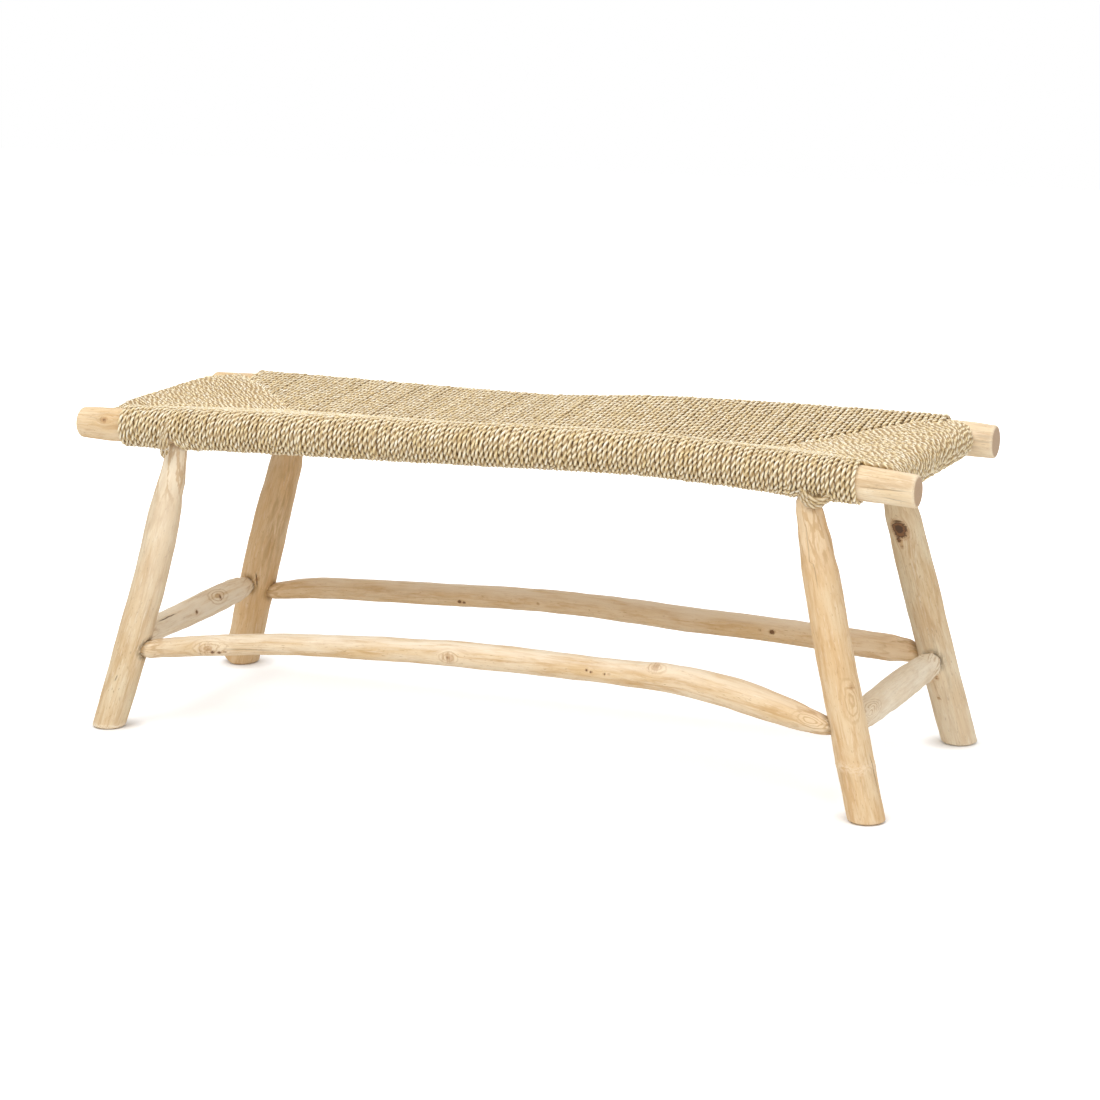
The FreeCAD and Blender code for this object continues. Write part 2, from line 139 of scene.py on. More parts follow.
FRESH_END, PALE_FOOT, PATCH_CORE = 0.7, 1.6, 0.2
GRIME_REACH = 8
NEXT_GRAIN = np.array([410.0, 170.0, 90.0])
SHARP_EDGE = math.radians(50)

# What a row gives for each kind of mark: its place along the branch in mm and round it in degrees, its sizes
# in mm, and how strongly it shows. Patches are stains (one on the back left leg also paints shade), pale
# places that paint light on lit tops and shaded sides, and eyes.
KNOT = ("along", "round", "size", "height", "dark")
SPLIT = ("along", "round", "length", "slant", "width", "depth", "dark")
PATCH = ("along", "round", "length", "width", "dark")
RING = ("along", "height", "width")


def named(names, rows):
    """Rows of marks as dictionaries."""
    return [dict(zip(names, row)) for row in rows]


class Branch:
    """A stick along one axis that follows its CAD node and carries its own marks."""

    def __init__(self, node_name, along, seed, knots=(), splits=(), stains_and_shade=(), pale=(), rings=(), eyes=(),
                 whittled=(0, 0), facets=0.5, warmth=0.0, worn_foot=0.0, pale_foot=0.0):
        self.name, self.along, self.seed = node_name, along, seed
        self.across = [(along + 1) % 3, (along + 2) % 3]
        self.rows = stations(node_name, along)
        self.first, self.last = self.rows[0, 0], self.rows[-1, 0]
        self.knots, self.splits, self.rings = named(KNOT, knots), named(SPLIT, splits), named(RING, rings)
        self.eyes = named(PATCH, eyes)
        self.patches = {"stain_and_shade": named(PATCH, stains_and_shade), "painted_light": named(PATCH, pale)}
        self.whittled, self.facets = whittled, facets
        self.warmth = warmth if isinstance(warmth, tuple) else (warmth, warmth)
        self.worn_foot, self.pale_foot = worn_foot, pale_foot
        self.girth = float(np.median(self.rows[:, 3]))
        line = self.rows
        while np.hypot(*(line[0] - line[1])[1:3]) < STILL:
            line = line[1:]
        while np.hypot(*(line[-1] - line[-2])[1:3]) < STILL:
            line = line[:-1]
        self.line = line

    def centre(self, place):
        return np.stack([smooth_through(place, self.line[:, 0], self.line[:, k]) for k in (1, 2)], -1)

    def radius(self, place):
        return smooth_through(place, self.rows[:, 0], self.rows[:, 3])

    def whittling(self, place):
        low, high = self.whittled
        start = 1 - ramp(place, self.first + low * FULL_CUT, self.first + low) if low else 0
        finish = ramp(place, self.last - high, self.last - high * FULL_CUT) if high else 0
        return np.maximum(start, finish) * np.ones(len(place))

    def offsets(self, mark, place, angle):
        """How far along and round the branch each point is from a mark, in mm."""
        turn = (angle - math.radians(mark["round"]) + math.pi) % (2 * math.pi) - math.pi
        return place - mark["along"], turn * self.girth

    def off_ring(self, mark, place, angle):
        """How far along the branch each point is from a ring that waves as it goes round, in mm."""
        wave = lumps(place * 0, angle, RING_WAVE_SIZE, 1, self.seed + 0.83)
        return place - mark["along"] + RING_WAVE * wave

    def skin(self, place, angle):
        """Distance of the skin from the middle line."""
        to_end = np.minimum(place - self.first, self.last - place)
        r = self.radius(place) - EDGE_LOSS * np.clip(1 - to_end / EDGE_DEPTH, 0, 1) ** 2
        ends = ramp(to_end, 0, END_CALM)
        for height, size, length, shift in LUMPS:
            r = r + ends * height * lumps(place, angle, size, length, self.seed + shift)
        part = 2 * math.pi / KNIFE_CUTS
        flat = np.cos(part / 2) / np.cos((angle + self.seed + place / KNIFE_TWIST) % part - part / 2)
        cut = self.facets * self.whittling(place) * ramp(r, TOO_THIN, THICK_ENOUGH)
        r = r * (1 + cut * (flat * CUT_REACH - 1))
        for mark in self.knots:
            l, a = self.offsets(mark, place, angle)
            d = np.hypot(l / (mark["size"] * KNOT_LONG), a / mark["size"])
            dip = KNOT_DIP * np.exp(-(d * DIP_EDGE) ** 2)
            r = r + mark["height"] * (np.exp(-(d * KNOT_SWELL) ** 2) - dip)
        for mark in self.splits:
            l, a = self.offsets(mark, place, angle)
            across = a - mark["slant"] * l
            held = ramp(mark["length"] / 2 - np.abs(l), 0, SPLIT_TAPER)
            r = r - mark["depth"] * held * np.exp(-(across / mark["width"]) ** 2)
        for mark in self.rings:
            away = self.off_ring(mark, place, angle)
            r = r + mark["height"] * np.exp(-(away / mark["width"]) ** 2)
        return r

    def build(self, swell=0.0):
        """A closed round stick: a cylinder cut into rings, with each ring set on the branch."""
        inner = np.arange(self.first + END_RUN, self.last - END_RUN, RING_STEP)
        ends = np.linspace(0, END_RUN, END_RINGS)[:-1]
        sides = np.r_[self.first + ends, inner, self.last - ends[::-1]]
        shares = np.r_[CAP_SHARES, np.ones(len(sides)), CAP_SHARES[::-1]]
        places = np.r_[np.full(len(CAP_SHARES), self.first), sides, np.full(len(CAP_SHARES), self.last)]
        stick = bmesh.new()
        bmesh.ops.create_cone(stick, cap_ends=True, segments=AROUND, radius1=1, radius2=1, depth=1)
        runs = [e for e in stick.edges if abs(e.verts[0].co.z - e.verts[1].co.z) > 0.5]
        bmesh.ops.subdivide_edges(stick, edges=runs, cuts=len(places) - 2, use_grid_fill=True)
        rough = np.array([v.co for v in stick.verts])
        ring = np.round((rough[:, 2] + 0.5) * (len(places) - 1)).astype(int)
        angle = np.arctan2(rough[:, 1], rough[:, 0])
        place = places[ring]
        reach = (self.skin(place, angle) + swell) * shares[ring]
        middle = self.centre(place)
        co = np.zeros((len(rough), 3))
        worn = self.worn_foot * ramp(reach * np.cos(angle - math.pi), 0, self.girth)
        co[:, self.along] = place + worn * ramp(FOOT_RUN - place, 0, FOOT_RUN)
        co[:, self.across[0]] = middle[:, 0] + reach * np.cos(angle)
        co[:, self.across[1]] = middle[:, 1] + reach * np.sin(angle)
        for vert, spot in zip(stick.verts, co * MM):
            vert.co = spot
        mesh = bpy.data.meshes.new(self.name)
        stick.to_mesh(mesh)
        stick.free()
        piece = bpy.data.objects.new(self.name + "_branch", mesh)
        bpy.context.scene.collection.objects.link(piece)
        return piece

    def closeness(self, co):
        """How close each point (mm) is to this branch's skin: 1 on it, 0 past the grime's reach."""
        place = co[:, self.along]
        away = np.hypot(*(co[:, self.across] - self.centre(place)).T) - self.radius(place)
        near = np.clip(1 - np.abs(away) / GRIME_REACH, 0, 1)
        return np.where((place > self.first - 1) & (place < self.last + 1), near, 0)

    def mark_up(self, piece, joined):
        """Stores the grain's own coordinates and the marks on the mesh, for the wood to read."""
        mesh = piece.data
        co = np.zeros(len(mesh.vertices) * 3)
        mesh.vertices.foreach_get("co", co)
        co = co.reshape(-1, 3) / MM
        place = co[:, self.along]
        away = co[:, self.across] - self.centre(place)
        angle = np.arctan2(away[:, 1], away[:, 0])
        share = np.hypot(*away.T) / np.maximum(self.radius(place), 1)
        turned = angle.copy()
        knot = np.zeros(len(place))
        for mark in self.knots:
            l, a = self.offsets(mark, place, angle)
            d2 = (l / (mark["size"] * BEND_LONG)) ** 2 + (a / mark["size"]) ** 2
            bend = np.where(d2 < BEND_REACH, a / np.maximum(d2, 1) * (1 - d2 / BEND_REACH), 0)
            turned = turned - bend / self.girth
            d = np.hypot(l / (mark["size"] * KNOT_LONG), a / mark["size"])
            knot = np.maximum(knot, mark["dark"] * np.clip(1 - d / KNOT_EDGE, 0, 1))
        callus = np.zeros(len(place))
        if self.pale_foot:
            callus = PALE_FOOT * (1 - ramp(place - self.first, self.pale_foot / 2, self.pale_foot))
        for mark in self.rings:
            callus = np.maximum(callus, np.exp(-(self.off_ring(mark, place, angle) / mark["width"]) ** 2))
        to_end = np.minimum(place - self.first, self.last - place)
        cut_on = self.whittling(place)
        fresh = np.maximum(cut_on, FRESH_END - FRESH_END * ramp(to_end, 1, END_RUN))
        cut = self.radius(place) + 1.0 - np.hypot(*away.T)
        for mark in self.eyes:
            l, a = self.offsets(mark, place, angle)
            d2 = (l / mark["length"]) ** 2 + (a / mark["width"]) ** 2
            cut = cut + EYE_DEPTH * np.exp(-d2)
            cut_on = np.maximum(cut_on, mark["dark"] * np.exp(-(d2 / EYE_EDGE) ** 2))
        split = np.ones(len(place))
        split_on = np.zeros(len(place))
        for mark in self.splits:
            l, a = self.offsets(mark, place, angle)
            across = (a - mark["slant"] * l) / SPLIT_REACH
            held = mark["dark"] * ramp(mark["length"] / 2 - np.abs(l), 0, mark["length"] / 3)
            near = (np.abs(across) < 1) & (held > split_on)
            split = np.where(near, across, split)
            split_on = np.where(near, held, split_on)
        patch = {}
        for kind, marks in self.patches.items():
            patch[kind] = np.zeros(len(place))
            for mark in marks:
                l, a = self.offsets(mark, place, angle)
                d = np.hypot(l / mark["length"], a / mark["width"])
                patch[kind] = np.maximum(patch[kind], mark["dark"] * (1 - ramp(d, PATCH_CORE, 1)))
        grime = np.max([other.closeness(co) for other in joined] + [np.zeros(len(place))], axis=0)
        reach = share * self.girth
        grain = np.stack([reach * np.cos(turned), reach * np.sin(turned), place], -1) + self.seed * NEXT_GRAIN
        mesh.attributes.new("grain", "FLOAT_VECTOR", "POINT").data.foreach_set("vector", grain.ravel())
        warmth = np.interp(place, (self.first, self.last), self.warmth)
        stored = dict(
            knot=knot, split=split, split_on=split_on, stain_and_shade=patch["stain_and_shade"], painted_light=patch["painted_light"],
            whittled=fresh, sawn=to_end < SAWN_DEPTH, cut=cut, cut_on=cut_on, grime=grime, callus=callus,
            warmth=warmth)
        for name, values in stored.items():
            mesh.attributes.new(name, "FLOAT", "POINT").data.foreach_set("value", values.astype(float))
        mesh.polygons.foreach_set("use_smooth", np.ones(len(mesh.polygons), bool))
        mesh.set_sharp_from_angle(angle=SHARP_EDGE)


def bore_for(piece, other):
    """Cuts the hole that another branch's end stands in, scribed to it with a thin gap all round."""
    tool = other.build(JOINT_GAP)
    cut = piece.modifiers.new("bore", "BOOLEAN")
    cut.operation = "DIFFERENCE"
    cut.solver = "EXACT"
    cut.object = tool
    bpy.context.view_layer.update()
    dg = bpy.context.evaluated_depsgraph_get()
    bored = bpy.data.meshes.new_from_object(piece.evaluated_get(dg), depsgraph=dg)
    piece.modifiers.clear()
    piece.data = bored
    bpy.data.objects.remove(tool)


SMOOTH = {"interpolation_type": "SMOOTHSTEP"}
TIMES, PLUS, LESS = {"operation": "MULTIPLY"}, {"operation": "ADD"}, {"operation": "SUBTRACT"}
BLEND = {"data_type": "RGBA"}


def coated(tree, at, colour, coats, distortion, mark):
    """Lays coats of figure over a colour. Each has its width and length in mm, detail, where it starts and is
    full, strength, colour, and the mark that holds it to one place. Gives back the colour and the shares."""
    shown = {}
    for coat, (width, length, detail, start, full, strength, tint, held_by) in coats.items():
        place = add(tree, "VectorMath", TIMES, in_0=at, in_1=(1 / width, 1 / width, 1 / length))
        figure = add(tree, "TexNoise", Vector=place, Scale=1.0, Detail=detail, Roughness=0.6,
                     Distortion=distortion)
        share = add(tree, "MapRange", SMOOTH, in_0=figure, in_1=start, in_2=full, in_4=strength)
        if held_by:
            share = add(tree, "Math", TIMES, in_0=share, in_1=mark[held_by])
        colour = add(tree, "Mix", BLEND, 2, in_0=share, in_6=colour, in_7=linear(tint))
        shown[coat] = share
    return colour, shown


RING_WIDTH, RING_WOBBLE = 1.5, 7.0


# Teak sapwood, debarked, bleached and hand-rubbed: a dry matt skin, cream to honey, with soft tan clouds,
# fine streaks and pore flecks, growth rings where the knife cut through them, brown knots, drying splits,
# and grey weathering where the bark sat longest, which on the back left leg also paints shade. The fibres
# are drawn wider than real ones.
def branch_wood(name, pale, honey, tan, grey):
    material = bpy.data.materials.new(name)
    material.use_nodes = True
    tree = material.node_tree
    shader = tree.nodes["Principled BSDF"]
    grain = add(tree, "Attribute", {"attribute_name": "grain"}, "Vector")
    mark = {
        key: add(tree, "Attribute", {"attribute_name": key}, "Fac")
        for key in ("knot", "split", "split_on", "stain_and_shade", "painted_light", "whittled", "sawn", "cut", "cut_on",
                    "grime", "callus", "warmth")
    }
    coats = {
        "clouds": (34, 120, 2, 0.36, 0.66, 1.0, honey, None),
        "tan_clouds": (13, 60, 3, 0.47, 0.7, 0.55, tan, None),
        "mottling": (7, 22, 4, 0.5, 0.76, 0.3, tan, None),
        "streaks": (3.5, 75, 4, 0.5, 0.7, 0.5, tan, None),
        "fibres": (1.2, 26, 4, 0.5, 0.74, 0.45, tan, None),
        "pale_fibres": (1.7, 20, 3, 0.52, 0.72, 0.45, "F3E8D4", None),
        "flecks": (1.4, 6, 1, 0.64, 0.77, 0.6, "9C7750", None),
        # Grey weathering from the stain marks; on the back left leg it also paints shade.
        "weather_and_shade": (5, 45, 5, 0.42, 0.62, 1.0, grey, "stain_and_shade"),
        # Painted light: the pale patches brighten lit tops and lift shaded sides.
        "painted_light_tint": (6, 70, 4, 0.25, 0.6, 0.9, "FCF4E2", "painted_light"),
        "fresh_cuts": (8, 30, 3, 0.3, 0.7, 0.6, "F0DFC2", "whittled"),
        "sawn_face": (40, 400, 1, -1.0, 0.0, 0.85, "A0764E", "sawn"),
        "end_rings": (2.2, 400, 3, 0.42, 0.62, 0.5, "A07E5E", "sawn"),
        "callus_flecks": (3.5, 3, 3, 0.36, 0.6, 0.7, "F5E8D0", "callus"),
        "joint_grime": (4, 7, 4, 0.28, 0.58, 0.9, "5C482A", "grime"),
    }
    colour, shown = coated(tree, grain, linear(pale), coats, 0.35, mark)
    for lean, tint in ((1.0, "DCAA6C"), (-1.0, "F9EAD3")):
        share = add(tree, "MapRange", in_0=mark["warmth"], in_2=lean, in_4=0.5)
        colour = add(tree, "Mix", BLEND, 2, in_0=share, in_6=colour, in_7=linear(tint))

    # Growth rings, which show where wood was cut away
    place = add(tree, "VectorMath", TIMES, in_0=grain, in_1=(1 / 6, 1 / 6, 1 / 18))
    wobble = add(tree, "TexNoise", Vector=place, Scale=1.0, Detail=3.0, Roughness=0.6)
    turns = add(tree, "Math", TIMES, in_0=mark["cut"], in_1=2 * math.pi / RING_WIDTH)
    turns = add(tree, "Math", {"operation": "MULTIPLY_ADD"}, in_0=wobble, in_1=RING_WOBBLE, in_2=turns)
    rings = add(tree, "Math", {"operation": "SINE"}, in_0=turns)
    rings = add(tree, "MapRange", SMOOTH, in_0=rings, in_4=0.6)
    rings = add(tree, "Math", TIMES, in_0=rings, in_1=mark["cut_on"])
    colour = add(tree, "Mix", BLEND, 2, in_0=rings, in_6=colour, in_7=linear(tan))

    # Drying splits, with ragged edges
    ragged = add(tree, "MapRange", in_0=wobble, in_3=-0.2, in_4=0.2)
    off_line = add(tree, "Math", PLUS, in_0=mark["split"], in_1=ragged)
    off_line = add(tree, "Math", {"operation": "ABSOLUTE"}, in_0=off_line)
    gap = add(tree, "MapRange", SMOOTH, in_0=off_line, in_1=0.03, in_2=0.2, in_3=1.0, in_4=0.0)
    gap = add(tree, "Math", TIMES, in_0=gap, in_1=mark["split_on"])
    colour = add(tree, "Mix", BLEND, 2, in_0=gap, in_6=colour, in_7=linear("553820"))

    # Knots: a tan halo, then a dark heart with brown rings
    place = add(tree, "VectorMath", TIMES, in_0=grain, in_1=(1 / 2.4, 1 / 2.4, 1 / 4))
    swirl = add(tree, "TexNoise", Vector=place, Scale=1.0, Detail=3.0, Roughness=0.6, Distortion=1.0)
    ripple = add(tree, "MapRange", in_0=swirl, in_3=-0.4, in_4=0.4)
    ripple = add(tree, "Math", PLUS, in_0=mark["knot"], in_1=ripple)
    near = add(tree, "MapRange", SMOOTH, in_0=mark["knot"], in_2=0.12)
    halo = add(tree, "MapRange", SMOOTH, in_0=ripple, in_1=0.12, in_2=0.45, in_4=0.6)
    halo = add(tree, "Math", TIMES, in_0=halo, in_1=near)
    colour = add(tree, "Mix", BLEND, 2, in_0=halo, in_6=colour, in_7=linear("B08050"))
    heart = add(tree, "MapRange", SMOOTH, in_0=ripple, in_1=0.4, in_2=0.6, in_4=0.9)
    colour = add(tree, "Mix", BLEND, 2, in_0=heart, in_6=colour, in_7=linear("3A2010"))
    inner = add(tree, "Math", TIMES, in_0=ripple, in_1=11.0)
    inner = add(tree, "Math", {"operation": "SINE"}, in_0=inner)
    inner = add(tree, "MapRange", SMOOTH, in_0=inner, in_1=0.1, in_2=0.9, in_4=0.6)
    inner = add(tree, "Math", TIMES, in_0=inner, in_1=heart)
    colour = add(tree, "Mix", BLEND, 2, in_0=inner, in_6=colour, in_7=linear("A07148"))
    tree.links.new(colour, shader.inputs["Base Color"])

    rough = add(tree, "MapRange", in_0=shown["fibres"], in_2=0.34, in_3=0.6, in_4=0.74)
    tree.links.new(rough, shader.inputs["Roughness"])
    shader.inputs["Specular IOR Level"].default_value = 0.35
    depth = add(tree, "Math", TIMES, in_0=wobble, in_1=0.5)
    sinks = ((shown["fibres"], 0.6), (shown["flecks"], 0.6), (gap, 2.0), (heart, 0.6), (rings, 0.3))
    for share, amount in sinks:
        sunk = add(tree, "Math", TIMES, in_0=share, in_1=amount)
        depth = add(tree, "Math", LESS, in_0=depth, in_1=sunk)
    tree.links.new(add(tree, "Bump", Strength=0.35, Distance=0.0009, Height=depth), shader.inputs["Normal"])
    return material


LEGS = {branch.name: branch for branch in (
    Branch(
        "front_left_leg", ALONG_Z, 1, whittled=(0, 115), warmth=(0.3, -0.9), pale_foot=9,
        # Painted light lifts the shaded right side of the upper leg.
        pale=[(250, -25, 260, 30, 0.25)],
        splits=[(76, -85, 11, 0.15, 1.4, 0.4, 0.6)],
        stains_and_shade=[(300, -120, 90, 12, 0.3)]),
    Branch(
        "front_right_leg", ALONG_Z, 2, whittled=(0, 130), warmth=(0.65, 0.65),
        knots=[(172, -35, 5, 0.8, 0.5)],
        rings=[(72, 0.8, 6)],
        eyes=[(155, -45, 26, 9, 0.9)],
        splits=[(345, -100, 80, 0.05, 2.5, 0.6, 0.35),
                (318, -88, 60, -0.04, 2, 0.5, 0.3),
                (62, -5, 60, -0.1, 2.5, 1.2, 0.7)],
        stains_and_shade=[(56, -80, 24, 60, 0.35)]),
    Branch(
        "back_left_leg", ALONG_Z, 3, whittled=(0, 120), warmth=(0.85, 0.75), worn_foot=8,
        knots=[(140, -67, 3.5, 0.5, 0.5)],
        splits=[(138, -68, 26, -0.25, 2.5, 1.4, 1.0)],
        # This long stain also paints the shade on the leg's side under the seat.
        stains_and_shade=[(250, -45, 150, 22, 0.85),
                (130, -40, 40, 20, 0.4)]),
    Branch(
        "back_right_leg", ALONG_Z, 4, whittled=(0, 120), warmth=(-0.6, 0.45), pale_foot=4,
        knots=[(301, -94, 10, 1.4, 1.2),
               (286, -104, 4, 0.4, 0.9),
               (277, -99, 3, 0.2, 0.6),
               (97, -89, 3, 0.3, 0.6),
               (68, -99, 2.5, 0.2, 0.6)],
        stains_and_shade=[(120, -60, 60, 14, 0.4)]),
)}
LEG_WOOD = branch_wood("bleached_teak_branch_legs", "E7D6B5", "DCC096", "BD9562", "A38C68")

# Stretchers
# Four thinner branches that tie the legs together above the floor. Each end is whittled to a round nose
# that is pushed into a hole bored in a leg; the two long ones bow upwards as they grew.

STRETCHERS = {branch.name: branch for branch in (
    Branch(
        "front_stretcher", ALONG_X, 5, whittled=(60, 70), warmth=(0.35, 0.5),
        knots=[(-396, -172, 15, 0.5, 0.34),
               (-393, -168, 5, -0.4, 0.5),
               (-386, -152, 3.5, -0.6, 0.8),
               (-376, -148, 3, -0.5, 0.9),
               (-366, -152, 2.5, -0.3, 0.6),
               (-27, -175, 8, 0.9, 0.45),
               (171, 172, 2.2, 0.3, 0.9),
               (177, 178, 2, 0.2, 0.8),
               (196, 180, 2, 0.3, 0.8),
               (203, 177, 1.6, 0.2, 0.7),
               (264, 120, 9, 1.5, 0.45)],
        eyes=[(-392, -176, 24, 11, 0.8),
              (-27, -172, 15, 8, 0.7),
              (266, 125, 13, 8, 0.6),
              (475, 161, 20, 8, 0.65)],
        splits=[(-330, -165, 90, 0.04, 1.5, 0.3, 0.4)],
        # Painted highlight along the top.
        pale=[(0, 108, 900, 19, 1.0)]),
    Branch(
        "back_stretcher", ALONG_X, 6, whittled=(55, 75), warmth=0.7,
        knots=[(-190, -157, 3, 0.4, 0.8),
               (-183, -153, 2.4, 0.3, 0.8),
               (-65, -176, 2.4, 0.3, 0.6),
               (291, 176, 3.4, 0.3, 1.0),
               (273, 174, 2, 0.2, 0.6)],
        stains_and_shade=[(-300, 180, 160, 20, 0.3)],
        # Painted highlight along the top.
        pale=[(0, 105, 900, 20, 0.9)]),
    Branch(
        "left_stretcher", ALONG_Y, 7, whittled=(45, 60), facets=0.8, warmth=(0.35, 0.4),
        knots=[(-33, 77, 3, 0.3, 0.9),
               (41, 60, 4.5, 0.8, 0.55)],
        eyes=[(38, 52, 22, 9, 1.2)],
        splits=[(-106, 41, 64, 0.0, 2, 1.0, 0.9)],
        stains_and_shade=[(60, 60, 120, 26, 0.15),
                (-120, 60, 60, 26, 0.15)],
        # Painted light lifts the inner side, which lies in the seat's shade.
        pale=[(0, 60, 400, 60, 0.9)]),
    Branch(
        "right_stretcher", ALONG_Y, 8, whittled=(70, 90), facets=1.0, warmth=-0.9,
        eyes=[(-128, 47, 22, 8, 1.0),
              (-144, 71, 14, 6, 1.0)],
        stains_and_shade=[(20, 60, 200, 40, 0.2)]),
)}
STRETCHER_WOOD = branch_wood("bleached_teak_branch_stretchers", "EFE0C4", "E0C69C", "BD9663", "AC9878")

# Seat rails
# Two thick branches along the front and the back carry the seat; their sawn ends stand out past the weave.
# Two short round rails join them at the ends, let into holes, and are wholly wrapped by the rope.

RAILS = {branch.name: branch for branch in (
    Branch(
        "front_seat_rail", ALONG_X, 9, warmth=(0.35, -0.3),
        knots=[(-557, 156, 5, 0.6, 0.55)],
        splits=[(560, 178, 75, -0.06, 3, 1.3, 0.4),
                (572, -150, 40, 0.05, 2, 0.5, 0.3)],
        stains_and_shade=[(-560, 150, 40, 16, 0.5)]),
    Branch(
        "back_seat_rail", ALONG_X, 10, warmth=(0.2, -0.4),
        stains_and_shade=[(580, 166, 50, 18, 0.6)]),
)}
RAIL_WOOD = branch_wood("bleached_teak_branch_rails", "EAD6B4", "DEC296", "BC9564", "A8947A")

pieces = {}
for group in (LEGS, STRETCHERS, RAILS):
    for name, branch in group.items():
        pieces[name] = branch.build()
JOINTS = {
    "front_left_leg": ("front_stretcher", "left_stretcher"),
    "front_right_leg": ("front_stretcher", "right_stretcher"),
    "back_left_leg": ("back_stretcher", "left_stretcher"),
    "back_right_leg": ("back_stretcher", "right_stretcher"),
}
joined = {name: [] for name in pieces}
for leg, holes in JOINTS.items():
    for stretcher in holes:
        bore_for(pieces[leg], STRETCHERS[stretcher])
        joined[leg].append(STRETCHERS[stretcher])
        joined[stretcher].append(LEGS[leg])
for group, wood, slot in (
    (LEGS, LEG_WOOD, "leg_wood"),
    (STRETCHERS, STRETCHER_WOOD, "stretcher_wood"),
    (RAILS, RAIL_WOOD, "rail_wood"),
):
    for name, branch in group.items():
        branch.mark_up(pieces[name], joined[name])
        pieces[name].data.materials.clear()
        pieces[name].data.materials.append(wood)
        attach(pieces[name], "root")
        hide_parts(name)
for name in ("left_end_rail", "right_end_rail"):
    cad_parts[name].data.materials[0] = RAIL_WOOD

# Woven seat
# One two-ply laid rope of sea grass, wound in the rush pattern: every wrap goes over a rail, round it and
# back underneath to the middle, where it dives between the wraps of the rail across. Each wrap is one cord.

ROPE_RADIUS = 3.3
CORD_RADIUS = 3.25
TURN_STEPS = 8
FIBRE_TWIST = 0.75
TWIST_WANDER = 0.25
DOT_LEAST = 0.3
# How much painted shade darkens the grooves between the plies, and the gaps between a wrap and the next
LOOSE_GAP_SHADE = (1.0, 0.1)
ROLL_GAP_SHADE, FLAT_GAP_SHADE, END_GAP_SHADE = (1.1, 0.5), (0.95, 2.4), (1.4, 1.6)
# The seam's upper and lower heights, where the mitres meet it, and how far it is from a long rail, in mm
SEAM_TOP, SEAM_LOW = 430.0, 421.5
RIGHT_APEX, LEFT_APEX = 354.0, 370.0
HALF_SEAT = 168.0
WAIST, SHOULDER = 0.53, 0.79
PLY_SHAPE = tuple(zip(range(0, 360, 45), (1.0, SHOULDER, WAIST, SHOULDER) * 2))
dice = np.random.default_rng(20)

profile = bpy.data.curves.new("ply_shape", "CURVE")
outline = profile.splines.new("POLY")
outline.points.add(len(PLY_SHAPE) - 1)
outline.use_cyclic_u = True
for point, (degrees, share) in zip(outline.points, PLY_SHAPE):
    reach = ROPE_RADIUS * share * MM
    point.co = (reach * math.cos(math.radians(degrees)), -reach * math.sin(math.radians(degrees)), 0, 1)
profile_object = bpy.data.objects.new("ply_shape", profile)
bpy.context.scene.collection.objects.link(profile_object)


PITCH_WANDER, PITCH_MOST = 0.05, 0.08


def spaced(start, finish, marks, pitches):
    """Places of the wraps from start to finish, apart by the pitch at each mark, a little unevenly."""
    places = [start + CORD_RADIUS]
    while places[-1] < finish:
        pitch = np.interp(places[-1], marks, pitches)
        wander = np.clip(dice.normal() * PITCH_WANDER, -PITCH_MOST, PITCH_MOST)
        places.append(places[-1] + pitch * (1 + wander))
    places = np.array(places)
    room = finish - start - 2 * CORD_RADIUS
    return start + CORD_RADIUS + (places - places[0]) * room / (places[-1] - places[0])


# A wrap dives at the seam through these points: outward from the seam and down from the seat, in mm.
DIVE = ((-1.5, 7), (-0.6, 3), (2.6, 0.8))
DIVE_LIP, ARC_STEPS = 8, 40


def wrap_line(seam, top, low, rail, height, reach):
    """One wrap seen along its rail: (outward, up) points from the seam, round the rail and back, in mm."""
    def touch(outward, up, side):
        away = math.hypot(rail - outward, height - up)
        base = math.atan2(height - up, rail - outward)
        lean = math.asin(min(1, reach / away))
        run = math.sqrt(max(away ** 2 - reach ** 2, 0))
        return outward + run * math.cos(base + side * lean), up + run * math.sin(base + side * lean)

    upper, lower = (seam + DIVE_LIP, top), (seam + DIVE_LIP, low)
    high, under = touch(*upper, 1), touch(*lower, -1)
    turn_from = math.atan2(high[1] - height, high[0] - rail)
    turn_to = math.atan2(under[1] - height, under[0] - rail)
    arc = np.linspace(turn_from, turn_to, ARC_STEPS)
    middle = (top + low) / 2
    dive_in = [(seam + out, max(top - down, middle)) for out, down in DIVE] + [upper]
    dive_out = [lower] + [(seam + out, min(low + down, middle)) for out, down in DIVE[::-1]]
    around = np.stack([rail + reach * np.cos(arc), height + reach * np.sin(arc)], -1)
    return np.vstack([dive_in, around, dive_out])


def cord_points(line, step):
    """Points a step apart along a line, with a smooth pass over its corners."""
    length = np.r_[0, np.cumsum(np.linalg.norm(np.diff(line, axis=0), axis=1))]
    count = max(int(round(length[-1] / step)), TURN_STEPS)
    at = np.linspace(0, length[-1], count + 1)
    fine = np.stack([np.interp(at, length, line[:, k]) for k in range(line.shape[1])], -1)
    eased = fine.copy()
    eased[1:-1] = (fine[:-2] + 2 * fine[1:-1] + fine[2:]) / 4
    return eased


SIZE_WANDER, SIZE_MOST, TIP_SIZE = 0.06, 0.1, 0.05
NEXT_CORD = np.array([37.0, -37.0 * 0.7, 0.0])
DOT_FROM, DOT_FULL = 0.8, 3.3
UV_EDGE, UV_GAP = 0.002, 0.05


